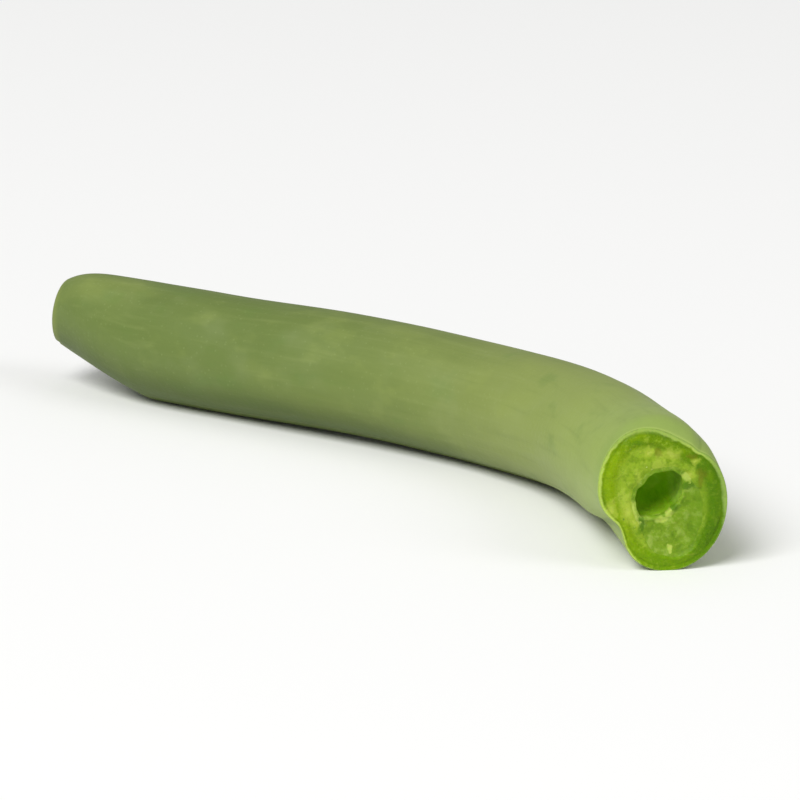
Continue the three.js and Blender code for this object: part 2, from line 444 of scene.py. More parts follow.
def finish(name):
    made = bpy.data.materials.new(name)
    made.use_nodes = True
    return made


skin = finish("waxy_pod_skin")
flesh = finish("wet_cut_flesh")
tissue = finish("glassy_seed_bed")
scar = finish("dry_nipped_end")
vein = finish("cut_vein_ends")
torn = finish("torn_flesh_cells")
pod.data.materials.append(skin)

# %% [markdown]
# ## The rule of the pod
#
# A pod swells a little over each seed, on the two flanks between its seams. It sinks along the seams:
# the ventral one, which carries the seeds and winds round to the side near the cut, and the fainter
# dorsal one. The skin is never quite even. Sculpting would give that look once, but as waves and soft
# grooves in a Geometry Nodes tree every size stays a named input that can be changed. The tree then
# samples the middle line at each point's distance along the pod, and moves the point out sideways and
# up from it.

# %% Sizes of the pod's rule
RULE = {
    "Length": LENGTH,
    "Flare Length": FLARE_LENGTH,
    "Swell Start": 3.5 * MM,
    "Swell Full": 14 * MM,
    "Seed Pitch": 11 * MM,
    "First Seed": 14 * MM,
    "Seed Swell": 0.11 * MM,
    "Uneven": 0.15 * MM,
    "Uneven Size": 13 * MM,
    "Skin Grain": 0.022 * MM,
    "Skin Grain Size": 0.9 * MM,
    "Flesh Grain": 0.17 * MM,
    "Flesh Grain Size": 0.7 * MM,
    "Rough From": 0.1 * MM,
    "Rough Full": 0.5 * MM,
    "Random Seed": 7.0,
}
# A seam's angle round the pod, its depth and its width, first on the body and then at the cut.
SUTURES = {
    "Ventral": {"angle": (243, 216), "depth": (0.14, 0.88), "width": (8, 21)},
    "Dorsal": {"angle": (62, 50), "depth": (0.06, 0.14), "width": (6, 7)},
}
for name, suture in SUTURES.items():
    for key, (body, cut) in suture.items():
        unit = MM if key == "depth" else math.radians(1)
        RULE[f"{name} {key}"] = body * unit
        RULE[f"{name} {key} at the cut"] = cut * unit
print("inputs of the rule:", len(RULE))

# %% A tree with named inputs


def new_tree(name, numbers, **others):
    """A Geometry Nodes tree with a mesh in and out, an input for each number, and other inputs."""
    tree = bpy.data.node_groups.new(name, "GeometryNodeTree")
    tree.is_modifier = True
    tree.interface.new_socket("Mesh", in_out="OUTPUT", socket_type="NodeSocketGeometry")
    kinds = {"Mesh": "Geometry", **dict.fromkeys(numbers, "Float"), **others}
    for key, kind in kinds.items():
        tree.interface.new_socket(key, in_out="INPUT", socket_type="NodeSocket" + kind)
    return tree, add(tree, "NodeGroupInput").outputs


def grow(piece, tree, values):
    """Runs the tree on the piece with these inputs and keeps the result as a plain mesh."""
    modifier = piece.modifiers.new(tree.name, "NODES")
    modifier.node_group = tree
    for item in tree.interface.items_tree:
        if item.in_out == "INPUT" and item.name in values:
            modifier[item.identifier] = values[item.name]
    graph = bpy.context.evaluated_depsgraph_get()
    made = bpy.data.meshes.new_from_object(piece.evaluated_get(graph), depsgraph=graph)
    piece.modifiers.clear()
    old = piece.data
    piece.data = made
    bpy.data.meshes.remove(old)
    made.name = piece.name
    return piece


# %% The pod's rule as a tree
rule, size = new_tree("pod laid along its bow", RULE, Bow="Object")
KINDS = {"follows": "FLOAT", "inward": "FLOAT", "height": "FLOAT", "zone": "INT"}
KINDS["straight"] = "FLOAT_VECTOR"
known = {}
for name, kind in KINDS.items():
    known[name] = add(rule, "GeometryNodeInputNamedAttribute", {"Name": name}, data_type=kind)
place = add(rule, "GeometryNodeInputPosition")
along, across, above = add(rule, SPLIT, [place]).outputs
angle = add(rule, MATH, [above, across], "ARCTAN2")
start = add(rule, MATH, [size["Length"], size["Flare Length"]], "SUBTRACT")
to_cut = add(rule, RANGE, [along, start, size["Length"]], **SMOOTH)

# %% [markdown]
# A seam's groove is a bell curve of the angle away from the seam. Its place, depth and width all
# change towards the cut, where the ventral seam opens into the broad notch in the face's lower left.

# %% The grooves of the two seams
bells = []
grooves = []
for name, suture in SUTURES.items():
    at = {}
    for key in suture:
        ends = size[f"{name} {key}"], size[f"{name} {key} at the cut"]
        at[key] = add(rule, RANGE, [to_cut, 0.0, 1.0, *ends])
    away = add(rule, MATH, [angle, at["angle"]], "SUBTRACT")
    away = add(rule, MATH, [away, math.pi, -math.pi], "WRAP")
    away = add(rule, MATH, [away, at["width"]], "DIVIDE")
    square = add(rule, MATH, [away, away], "MULTIPLY")
    minus = add(rule, MATH, [square, -1.0], "MULTIPLY")
    bells.append(add(rule, MATH, [minus], "EXPONENT"))
    grooves.append(add(rule, MATH, [bells[-1], at["depth"]], "MULTIPLY"))
groove = add(rule, MATH, [grooves[0], grooves[1]], "ADD")
seam = add(rule, MATH, [bells[0], bells[1]], "MAXIMUM")

# %% [markdown]
# The swelling is a cosine along the pod with its crests on the seeds, times the squared sine of the
# angle from the ventral seam, which is 1 on the flanks and 0 on both seams. It fades in along the
# tapered end and out towards the cut.

# %% The swelling over the seeds
from_seam = add(rule, MATH, [angle, size["Ventral angle"]], "SUBTRACT")
sine = add(rule, MATH, [from_seam], "SINE")
flank = add(rule, MATH, [sine, sine], "MULTIPLY")
phase = add(rule, MATH, [along, size["First Seed"]], "SUBTRACT")
phase = add(rule, MATH, [phase, size["Seed Pitch"]], "DIVIDE")
phase = add(rule, MATH, [phase, 2 * math.pi], "MULTIPLY")
crest = add(rule, MATH, [phase], "COSINE")
fade_in = add(rule, RANGE, [along, size["Swell Start"], size["Swell Full"]], **SMOOTH)
fade_out = add(rule, MATH, [1.0, to_cut], "SUBTRACT")
swelling = size["Seed Swell"]
for factor in (flank, crest, fade_in, fade_out):
    swelling = add(rule, MATH, [swelling, factor], "MULTIPLY")

# %% [markdown]
# Two noises make the skin uneven: a slow one of a thumb's width, and a fine grain that is drawn out
# along the pod as its fibres are. A third one roughens the cut face and the soft bed of the chamber,
# along the pod instead of out from it.

# %% Unevenness of the skin and the cut face
noise = {}
for key, stretched in (("Uneven", 0.7), ("Skin Grain", 0.3), ("Flesh Grain", 1.0)):
    drawn = add(rule, VECTOR, [place, (stretched, 1, 1)], "MULTIPLY")
    waves = add(rule, MATH, [1.0, size[f"{key} Size"]], "DIVIDE")
    form = {"Vector": drawn, "W": size["Random Seed"], "Scale": waves, "Detail": 2.0, "Roughness": 0.55}
    texture = add(rule, NOISE, form, noise_dimensions="4D")
    centred = add(rule, MATH, [texture, 0.5], "SUBTRACT")
    noise[key] = add(rule, MATH, [centred, size[key]], "MULTIPLY")
relief = swelling
for part, sign in ((noise["Uneven"], "ADD"), (noise["Skin Grain"], "ADD"), (groove, "SUBTRACT")):
    relief = add(rule, MATH, [relief, part], sign)
relief = add(rule, MATH, [relief, known["follows"]], "MULTIPLY")
cosine = add(rule, MATH, [angle], "COSINE")
rise = add(rule, MATH, [angle], "SINE")
outward = add(rule, JOIN, {"Y": cosine, "Z": rise})
moved = add(rule, VECTOR, {0: outward, "Scale": relief}, "SCALE")
on_face = add(rule, RANGE, [known["inward"], size["Rough From"], size["Rough Full"]], **SMOOTH)
rough = add(rule, MATH, [noise["Flesh Grain"], on_face], "MULTIPLY")
roughened = add(rule, JOIN, {"X": rough})

# %% [markdown]
# Before the pod is bent, each point keeps its place on the straight pod, and how near it lies to a
# seam. The finishes read both, so that streaks in the skin run along the pod and follow its bow.

# %% What the finishes will ask for
shaped = add(rule, VECTOR, [place, moved], "ADD")
shaped = add(rule, VECTOR, [shaped, roughened], "ADD")
kept = size["Mesh"]
for name, value, kind in (("seam", seam, "FLOAT"), ("straight", shaped, "FLOAT_VECTOR")):
    stored = {"Geometry": kept, "Name": name, "Value": value}
    kept = add(rule, "GeometryNodeStoreNamedAttribute", stored, data_type=kind, domain="POINT")

# %% [markdown]
# The line is sampled at the point's distance along the pod. What lies past the line's ends, because of
# the slants, goes on straight from there. The pod is a little heavy for its skin, so where it touches
# the surface it is pressed flat.

# %% Laying the pod along the line and on the surface
on = add(rule, SPLIT, [known["straight"]]).outputs
station = add(rule, "ShaderNodeClamp", [on["X"], 0.0, size["Length"]])
past = add(rule, MATH, [on["X"], station], "SUBTRACT")
line = add(rule, "GeometryNodeObjectInfo", {"Object": size["Bow"]}).outputs["Geometry"]
sampled = {"Curves": line, "Length": station}
at = add(rule, "GeometryNodeSampleCurve", sampled, mode="LENGTH", use_all_curves=True).outputs
side = add(rule, VECTOR, [(0, 0, 1), at["Tangent"]], "CROSS_PRODUCT")
side = add(rule, VECTOR, [side], "NORMALIZE")
level = add(rule, MATH, [on["Z"], known["height"]], "ADD")
steps = (
    add(rule, VECTOR, {0: at["Tangent"], "Scale": past}, "SCALE"),
    add(rule, VECTOR, {0: side, "Scale": on["Y"]}, "SCALE"),
    add(rule, JOIN, {"Z": level}),
)
laid = at["Position"]
for step in steps:
    laid = add(rule, VECTOR, [laid, step], "ADD")
split = add(rule, SPLIT, [laid]).outputs
pressed = add(rule, MATH, [split["Z"], 0.0], "MAXIMUM")
rested = add(rule, JOIN, [split["X"], split["Y"], pressed])
shape = add(rule, "GeometryNodeSetPosition", {"Geometry": kept, "Position": rested})

# %% Handing out the finishes and growing the pod
shape = add(rule, "GeometryNodeRealizeInstances", [shape])
for number, coat in ((SKIN, skin), (FLESH, flesh), (CHAMBER, tissue), (NIPPED, scar)):
    # The Compare node has two inputs for each data type: 2 and 3 are for whole numbers.
    pair = {2: known["zone"], 3: number}
    chosen = add(rule, "FunctionNodeCompare", pair, "EQUAL", data_type="INT")
    shape = add(rule, "GeometryNodeSetMaterial", [shape, chosen, coat])
add(rule, "NodeGroupOutput", [shape])
grow(pod, rule, {**RULE, "Bow": bow})
print("pod:", len(pod.data.polygons), "faces,", [m.name for m in pod.data.materials])

# %% [markdown]
# The line started at the nipped end, but the frame's origin lies under the middle of the pod's box.
# One shift puts the pod where the frame has it.

# %% Into the frame
points = np.zeros(len(pod.data.vertices) * 3)
pod.data.vertices.foreach_get("co", points)
points = points.reshape(-1, 3)
low, high = points.min(axis=0), points.max(axis=0)
SHIFT = np.array([*((POD_BOX[0] + POD_BOX[1]) / 2)[:2], 0]) - np.array([*((low + high) / 2)[:2], 0])
pod.data.transform(Matrix.Translation(SHIFT))
print("pod's box in mm:", *np.round((low + SHIFT, high + SHIFT) / np.array(MM), 2))
print("frame's box in mm:", *([round(v / MM, 2) for v in corner] for corner in POD_BOX))

# %% [markdown]
# ## Small things on the cut face
#
# Strands of veins run the length of a pod, about a millimetre under its skin, and the knife leaves
# their ends as a ring of small glassy dots. Further in, the flesh is made of big watery cells. Some
# tear instead of parting cleanly, and stand up as pale, wet crumbs. Particles could be strewn over
# both, but a Geometry Nodes tree can pick its faces by their depth in from the skin. It spreads points
# there that keep their distance, and sets a small lumpy drop on each, half sunk in the flesh.

# %% A tree that scatters drops
# Each input has a value for the vein ends and one for the torn cells.
DROPS = {
    "Nearest": (0.85 * MM, 1.3 * MM),
    "Furthest": (1.05 * MM, 9.0 * MM),
    "Deepest": (0.45 * MM, 0.45 * MM),
    "Bare": (0.0, 0.62),
    "Patch Size": (1.3 * MM, 1.3 * MM),
    "Spacing": (0.85 * MM, 0.34 * MM),
    "Smallest": (0.07 * MM, 0.04 * MM),
    "Largest": (0.13 * MM, 0.11 * MM),
    "Rarity": (3.0, 3.0),
    "Flatness": (0.4, 0.25),
    "Lumpiness": (0.03 * MM, 0.2 * MM),
    "Lump Size": (0.12 * MM, 0.12 * MM),
    "Random Seed": (4.0, 9.0),
}
DENSEST = 8e7  # points per square metre before the spacing thins them
scatter, size = new_tree("drops on the cut face", DROPS, Coat="Material")
named = "GeometryNodeInputNamedAttribute"
inward, deep = [add(scatter, named, {"Name": name}, data_type="FLOAT") for name in ("inward", "deep")]
place = add(scatter, "GeometryNodeInputPosition")
waves = add(scatter, MATH, [1.0, size["Patch Size"]], "DIVIDE")
form = {"Vector": place, "W": size["Random Seed"], "Scale": waves, "Detail": 2.0}
patches = add(scatter, NOISE, form, noise_dimensions="4D")
tests = (
    (inward, "GREATER_THAN", "Nearest"),
    (inward, "LESS_THAN", "Furthest"),
    (deep, "LESS_THAN", "Deepest"),
    (patches, "GREATER_THAN", "Bare"),
)
chosen = 1.0
for value, comparison, bound in tests:
    test = add(scatter, MATH, [value, size[bound]], comparison)
    chosen = add(scatter, MATH, [chosen, test], "MULTIPLY")
spread = {
    "Mesh": size["Mesh"],
    "Selection": chosen,
    "Distance Min": size["Spacing"],
    "Density Max": DENSEST,
    "Seed": size["Random Seed"],
}
points = add(scatter, "GeometryNodeDistributePointsOnFaces", spread, distribute_method="POISSON").outputs

# %% A drop on each point


def shifts(tree, amount, form, **options):
    """A noise's colours as shifts to all sides, of half the amount at the most."""
    colour = add(tree, NOISE, form, **options).outputs["Color"]
    centred = add(tree, VECTOR, [colour, (0.5, 0.5, 0.5)], "SUBTRACT")
    return add(tree, VECTOR, {0: centred, "Scale": amount}, "SCALE")


drop = add(scatter, "GeometryNodeMeshIcoSphere", {"Radius": 1.0, "Subdivisions": 2})
# Random Value has two inputs for each data type too: 2 and 3, and the output 1, are for numbers.
bounds = {2: 0.0, 3: 1.0, "Seed": size["Random Seed"]}
chance = add(scatter, "FunctionNodeRandomValue", bounds, data_type="FLOAT").outputs[1]
rare = add(scatter, MATH, [chance, size["Rarity"]], "POWER")
width = add(scatter, RANGE, [rare, 0.0, 1.0, size["Smallest"], size["Largest"]])
thickness = add(scatter, MATH, [width, size["Flatness"]], "MULTIPLY")
scaled = add(scatter, JOIN, [width, width, thickness])
placed = {"Points": points["Points"], "Instance": drop, "Rotation": points["Rotation"], "Scale": scaled}
drops = add(scatter, "GeometryNodeInstanceOnPoints", placed)
drops = add(scatter, "GeometryNodeRealizeInstances", [drops])
waves = add(scatter, MATH, [1.0, size["Lump Size"]], "DIVIDE")
form = {"Vector": place, "W": size["Random Seed"], "Scale": waves, "Detail": 1.0}
lumps = shifts(scatter, size["Lumpiness"], form, noise_dimensions="4D")
drops = add(scatter, "GeometryNodeSetPosition", {"Geometry": drops, "Offset": lumps})
drops = add(scatter, "GeometryNodeSetShadeSmooth", [drops])
drops = add(scatter, "GeometryNodeSetMaterial", [drops, True, size["Coat"]])
add(scatter, "NodeGroupOutput", [drops])

# %% The vein ends and the torn cells
details = []
for number, (name, coat) in enumerate((("cut_vein_ends", vein), ("torn_flesh_cells", torn))):
    detail = in_scene(name, pod.data.copy())
    values = {key: both[number] for key, both in DROPS.items()}
    details.append(grow(detail, scatter, {**values, "Coat": coat}))
    print(name, "faces:", len(detail.data.polygons))

# %% [markdown]
# ## Painting in layers
#
# Plant colours lie over each other: a ground, patches, streaks, a bloom of wax. So each finish is a
# ground colour and a list of layers. A layer covers the ones below it where some value, such as a noise
# or the depth under the skin, runs from one bound to the other. A colour ramp could do that for one
# value, but a pod needs many at once.

# %% Places and layers
APART = 3.7  # between noises in their fourth dimension, so that no two are alike


def in_mm(tree):
    """Where a point lies on the straight pod, in mm: along it, across it and above its middle."""
    kept = add(tree, "ShaderNodeAttribute", attribute_name="straight").outputs["Vector"]
    return add(tree, VECTOR, {0: kept, "Scale": 1 / MM}, "SCALE")


def depth_in_mm(tree, name):
    kept = add(tree, "ShaderNodeAttribute", attribute_name=name).outputs["Fac"]
    return add(tree, MATH, [kept, 1 / MM], "MULTIPLY")


def patterns(tree, place, *sizes):
    """Noises, each from its size in mm across the pod, and this size's share of the one along the pod."""
    made = []
    for number, (size, drawn_out) in enumerate(sizes):
        scale = (drawn_out / size, 1 / size, 1 / size)
        scaled = add(tree, VECTOR, [place, scale], "MULTIPLY")
        form = {"Vector": scaled, "W": APART * number, "Scale": 1.0, "Detail": 3.0, "Roughness": 0.55}
        made.append(add(tree, NOISE, form, noise_dimensions="4D"))
    return made


def paint(tree, ground, layers):
    """Lays colours over the ground. A layer is its value, two bounds, its greatest cover and a colour."""
    colour = linear(ground)
    for value, start, full, share, code in layers:
        cover = add(tree, RANGE, [value, start, full, 0.0, share], **SMOOTH)
        # The Mix node has sockets for each data type: 6, 7 and the output 2 are for colours.
        mixed = add(tree, "ShaderNodeMix", {0: cover, 6: colour, 7: linear(code)}, data_type="RGBA")
        colour = mixed.outputs[2]
    return colour


def emboss(tree, reliefs):
    """Bumps on top of each other. A relief is a height between 0 and 1, and how high that is in mm."""
    inputs = {"Strength": 1.0}
    for height, distance in reliefs:
        inputs.update({"Height": height, "Distance": distance * MM})
        inputs["Normal"] = add(tree, "ShaderNodeBump", inputs)
    return inputs["Normal"]


def dress(material, ground, layers, reliefs, inputs):
    """Paints and embosses a finish, and sets the other inputs of its shader."""
    tree = material.node_tree
    made = {"Base Color": paint(tree, ground, layers), "Normal": emboss(tree, reliefs)}
    feed(tree.nodes["Principled BSDF"], {**made, **inputs})


# %% [markdown]
# ## Waxy pod skin
#
# The skin is a single tough layer of cells under a thin coat of wax. The wax makes it matt and a little
# dusty, so the roughness is high and a faint sheen lightens its edges. Its green is dull at the thin
# end and clears to a yellower green towards the cut, partly its own colour and partly painted shade on
# the thin half. Shade is painted on its underside too, and near the cut a painted highlight pales the
# shoulder and the cut edge. Slow clouds and mottles vary it, the fibres below show as fine streaks
# along the pod, and hair roots dot it half a millimetre apart. Along the seams runs a thin dark line
# between paler edges.

# %% Patterns of the skin
tree = skin.node_tree
place = in_mm(tree)
along, across, above = add(tree, SPLIT, [place]).outputs
SKIN_PATTERNS = (7.0, 0.5), (2.2, 0.6), (0.5, 0.05), (3.2, 0.8), (0.2, 0.5)
clouds, mottles, streaks, wax, grain = patterns(tree, place, *SKIN_PATTERNS)
HAIRS_PER_MM = 2.0
hairs = {"Vector": place, "Scale": HAIRS_PER_MM}
dots = add(tree, "ShaderNodeTexVoronoi", hairs, feature="F1")
seam = add(tree, "ShaderNodeAttribute", attribute_name="seam").outputs["Fac"]
leaned = add(tree, MATH, [above, CUT_SLANT, along], "MULTIPLY_ADD")
to_cut = add(tree, MATH, [LENGTH / MM, leaned], "SUBTRACT")
askew = add(tree, MATH, [across, NIP_SLANT, along], "MULTIPLY_ADD")
# Painted shade on the underside: darkest near the thin end, and under the arch between two resting spots.
THIN_HALF, RISING = 20.0, 0.06
ARCH_MIDDLE, ARCHED = 28.0, 0.015
shaded_underside = add(tree, MATH, [along, THIN_HALF], "SUBTRACT")
shaded_underside = add(tree, MATH, [shaded_underside, RISING, above], "MULTIPLY_ADD")
shaded_arch = add(tree, MATH, [along, ARCH_MIDDLE], "SUBTRACT")
shaded_arch = add(tree, MATH, [shaded_arch, 2.0], "POWER")
shaded_arch = add(tree, MATH, [shaded_arch, ARCHED, above], "MULTIPLY_ADD")
print("patterns of the skin:", len(SKIN_PATTERNS) + 1)

# %% Colour of the skin
SKIN_LAYERS = (
    # Darker at the thin end and paler towards the cut: partly the pod's own colour, partly painted shade
    # on the thin half.
    (along, 20, 56, 1.0, "#83904c"),
    (along, 46, 68, 0.9, "#95a758"),
    (clouds, 0.5, 0.72, 0.45, "#87954c"),
    (clouds, 0.5, 0.28, 0.5, "#607234"),
    (mottles, 0.53, 0.72, 0.3, "#5f7c37"),
    (mottles, 0.47, 0.3, 0.25, "#8a984e"),
    (streaks, 0.5, 0.75, 0.16, "#929f5e"),
    (streaks, 0.48, 0.25, 0.16, "#586b2f"),
    (wax, 0.48, 0.75, 0.1, "#9ca67c"),
    (dots, 0.24, 0.04, 0.16, "#9aa86c"),
    # Painted shade on the underside, near the thin end and under the arch.
    (shaded_underside, -0.4, -3.6, 0.6, "#42521d"),
    (shaded_arch, 0.4, -3.0, 0.5, "#485a1c"),
    (seam, 0.3, 0.7, 0.3, "#92a158"),
    (seam, 0.88, 0.98, 0.5, "#53672b"),
    # Near the cut the skin turns paler and yellower: partly its own colour, partly a painted highlight
    # where the shoulder and the cut edge catch the light.
    (to_cut, 13, 3, 0.2, "#9fbc4c"),
    (to_cut, 3.0, 0.6, 0.5, "#88a24c"),
    (to_cut, 0.25, 0.05, 0.5, "#adc262"),
    (askew, 0.9, 0.3, 0.45, "#85904a"),
)
SKIN_SHINE = {
    "Roughness": add(tree, RANGE, [wax, 0.3, 0.7, 0.5, 0.6]),
    "IOR": 1.45,
    "Specular IOR Level": 0.35,
    "Sheen Weight": 0.05,
    "Sheen Roughness": 0.45,
    "Sheen Tint": linear("#dfe6cc"),
}
dress(skin, "#667839", SKIN_LAYERS, ((streaks, 0.03), (grain, 0.015), (dots, 0.012)), SKIN_SHINE)
print("layers of the skin:", len(SKIN_LAYERS))

# %% [markdown]
# ## Pale spots, browned spots and painted shade
#
# Where a seam or a strong vein reaches the cut, its tissue is paler and yellower than the flesh around
# it. The torn lip of the hollow is pale too, partly its own paler tissue and partly a painted highlight.
# Shade is painted as deeper green spots beside the dorsal seam, round the hollow and the bed and at the
# upper left, and a few veins have begun to brown in the air. Each spot is an oval in the face, its edge
# made uneven by a noise that shifts the places it is measured from.

# %% Spots of the face
# Each has its place across and above the middle of the face, half its width and half its height, in mm.
PALE_AND_LIT_SPOTS = {
    "ventral seam": (-2.35, -1.0, 0.7, 1.0),
    "left of it": (-3.55, -0.9, 0.55, 0.9),
    "tip of the seam": (-1.95, -1.75, 0.35, 0.45),
    "dorsal seam": (1.8, 1.35, 0.55, 0.45),
    "above it": (2.3, 2.35, 0.45, 0.35),
    "vein at the top": (0.6, 2.9, 0.85, 0.5),
    "vein left of it": (-0.95, 3.05, 0.45, 0.4),
    # The lip's two spots are partly its own paler tissue and partly a painted highlight.
    "lip of the hollow": (0.0, -1.65, 0.55, 0.28),
    "its upper end": (0.55, -1.25, 0.3, 0.35),
    "vein at the bottom": (0.4, -3.7, 0.2, 0.35),
}
# Painted shade: deeper green spots where shade falls in the face's clefts and gaps.
PAINTED_SHADE_SPOTS = {
    "under the dorsal seam": (1.8, 0.6, 0.55, 0.3),
    "left of the bed": (-1.55, -2.0, 0.3, 0.8),
    "under the hollow": (0.45, -0.85, 1.0, 0.45),
    "at the upper left": (-1.9, 3.7, 0.7, 0.3),
}
BROWNED_SPOTS = {
    "at the top": (-0.3, 2.95, 0.32, 0.45),
    "at the upper right": (2.1, 2.7, 0.5, 0.25),
    "at the right": (2.7, 1.2, 0.4, 0.8),
}
SPOT_SHIFT, SPOT_WAVES, FAR_AWAY = 0.9, 1.6, 9.0


def near_spots(tree, place, spots):
    """How far a place is from the nearest spot: 0 in its middle and 1 at its edge."""
    shift = shifts(tree, SPOT_SHIFT, {"Vector": place, "Scale": SPOT_WAVES, "Detail": 3.0})
    shifted = add(tree, VECTOR, [place, shift], "ADD")
    nearest = FAR_AWAY
    for x, y, wide, high in spots.values():
        away = add(tree, VECTOR, [shifted, (0, x, y)], "SUBTRACT")
        away = add(tree, VECTOR, [away, (0, 1 / wide, 1 / high)], "MULTIPLY")
        away = add(tree, VECTOR, [away], "LENGTH").outputs["Value"]
        nearest = add(tree, MATH, [nearest, away], "MINIMUM")
    return nearest


# %% [markdown]
# ## Wet cut flesh
#
# The knife has left the flesh wet: a thin clear coat gives it small bright glints. The skin shows as a
# pale rim, a third of a millimetre wide, partly its own paler edge and partly a painted highlight, with
# a darker line of painted shade in the gutter inside it. Then comes a millimetre of dense, deep green
# flesh, and inside that the big watery cells, paler and yellower. Real cells are about 0.1 mm wide in
# the outer flesh, too fine to show here, so they are drawn twice as wide. The knife also left faint
# parallel scores.

# %% Patterns of the flesh
tree = flesh.node_tree
place = in_mm(tree)
across, above = add(tree, SPLIT, [place]).outputs[1:]
FLESH_PATTERNS = (0.7, 1.0), (1.3, 1.0), (0.8, 1.0), (0.6, 1.0), (0.3, 1.0), (0.1, 1.0)
edges, patches, clumps, gaps, crumbs, grain = patterns(tree, place, *FLESH_PATTERNS)
from_skin = depth_in_mm(tree, "inward")
WAVERING = 0.5
INNER = (1.0, 1.5)  # mm in from the skin, where the big cells begin
wavy = add(tree, MATH, [edges, 0.5], "SUBTRACT")
depth = add(tree, MATH, [wavy, WAVERING, from_skin], "MULTIPLY_ADD")
inner = add(tree, RANGE, [depth, *INNER], **SMOOTH)
clumps = add(tree, MATH, [clumps, inner], "MULTIPLY")
gaps = add(tree, MATH, [gaps, inner], "MULTIPLY")
CELLS_PER_MM = 5.0
cells = {"Vector": place, "Scale": CELLS_PER_MM}
cells = add(tree, "ShaderNodeTexVoronoi", cells, feature="DISTANCE_TO_EDGE")
SCORES_PER_MM = (0.2, 0.35, 5.5)
scored = add(tree, VECTOR, [place, SCORES_PER_MM], "MULTIPLY")
scores = add(tree, NOISE, {"Vector": scored, "Scale": 1.0, "Detail": 2.0})
pale_and_lit, browned, painted_shade = [near_spots(tree, place, s) for s in (PALE_AND_LIT_SPOTS, BROWNED_SPOTS, PAINTED_SHADE_SPOTS)]
print("patterns of the flesh:", len(FLESH_PATTERNS) + 2)

# %% The rim of the face
# The pale rim is partly the skin's own paler edge and partly a painted highlight. It is painted thinnest
# at the lower right of the face, where it lies in shade, and duller at its right and its top.
TO_CORNER = (0.5, -0.87)  # across and above
CORNER_FROM, CORNER_FULL, THINNED = 2.0, 4.2, 0.25
DULLED = -0.2
GUTTER_MIDDLE = 0.37
corner = add(tree, MATH, [above, TO_CORNER[1]], "MULTIPLY")
corner = add(tree, MATH, [across, TO_CORNER[0], corner], "MULTIPLY_ADD")
shaded_thinning = add(tree, RANGE, [corner, CORNER_FROM, CORNER_FULL, 0.0, THINNED], **SMOOTH)
pale_and_lit_rim = add(tree, MATH, [depth, shaded_thinning], "ADD")
right_rim = add(tree, MATH, [across, DULLED, pale_and_lit_rim], "MULTIPLY_ADD")
top_rim = add(tree, MATH, [above, DULLED, pale_and_lit_rim], "MULTIPLY_ADD")
# The gutter's darker line is painted shade in its crease.
gutter = add(tree, MATH, [from_skin, GUTTER_MIDDLE], "SUBTRACT")
gutter = add(tree, MATH, [gutter], "ABSOLUTE")
print("nodes of the flesh so far:", len(tree.nodes))

# %% Colour of the flesh
FLESH_LAYERS = (
    (across, 0.5, -3.2, 0.85, "#7f9e02"),
    (across, 0.5, 3.4, 0.85, "#4a7401"),
    (above, 2.2, 4.2, 0.5, "#527400"),
    (above, -2.4, -4.4, 0.4, "#6a9802"),
    (patches, 0.5, 0.7, 0.5, "#86a404"),
    (patches, 0.48, 0.3, 0.4, "#4e7301"),
    (depth, 1.05, 1.5, 0.85, "#8aa728"),
    (clumps, 0.48, 0.62, 0.6, "#a6bb44"),
    (gaps, 0.5, 0.64, 0.55, "#65860e"),
    (crumbs, 0.52, 0.7, 0.35, "#a3ba3c"),
    (crumbs, 0.47, 0.3, 0.4, "#5d800c"),
    (cells, 0.08, 0.01, 0.15, "#9cb838"),
    (across, 1.4, 3.6, 0.55, "#4c7504"),
    # Spots of painted shade, deeper green.
    (painted_shade, 1.1, 0.4, 0.6, "#4f7a08"),
    # Pale veins and seams; on the lip of the hollow partly a painted highlight.
    (pale_and_lit, 1.1, 0.5, 0.6, "#a4b83c"),
    (pale_and_lit, 0.45, 0.1, 0.45, "#bcc955"),
    (browned, 1.1, 0.4, 0.55, "#6b6e12"),
    # A line of painted shade in the gutter just inside the rim.
    (gutter, 0.13, 0.02, 0.3, "#4c6f02"),
    # The pale rim: partly the skin's own paler edge, partly a painted highlight, thinned by painted shade
    # at the lower right.
    (pale_and_lit_rim, 0.3, 0.15, 0.85, "#b6cc5e"),
    (top_rim, -0.35, -0.7, 0.55, "#84a24a"),
    (right_rim, -0.35, -0.6, 0.85, "#84a24a"),
    (from_skin, 0.1, 0.05, 0.4, "#89a44c"),
)
FLESH_RELIEFS = (scores, 0.03), (crumbs, 0.08), (cells, 0.03), (grain, 0.012)
# Wet tissue bends light little, and green light spreads furthest in it.
WET = {"IOR": 1.37, "Subsurface Radius": (0.5, 1.0, 0.15)}
FLESH_SHINE = {
    "Roughness": add(tree, RANGE, [crumbs, 0.3, 0.7, 0.28, 0.45]),
    "Subsurface Weight": 0.2,
    "Subsurface Scale": 0.6 * MM,
    "Specular IOR Level": 0.12,
    "Coat Weight": 0.05,
    "Coat Roughness": 0.12,
}
dress(flesh, "#668a01", FLESH_LAYERS, FLESH_RELIEFS, {**WET, **FLESH_SHINE})
print("layers of the flesh:", len(FLESH_LAYERS))

# %% [markdown]
# ## Glassy seed bed
#
# The chamber is lined with soft, glassy tissue that the knife has opened, paler than the flesh on its
# bed. The hollow darkens mostly by its own shade, and a little by painted shade near its mouth. Light
# that goes down the hollow comes back green from its wet walls, so deeper down they are painted a bright
# yellow-green, a painted glow for that light. Its low wall and its right wall, which catch the light,
# are painted a little paler.

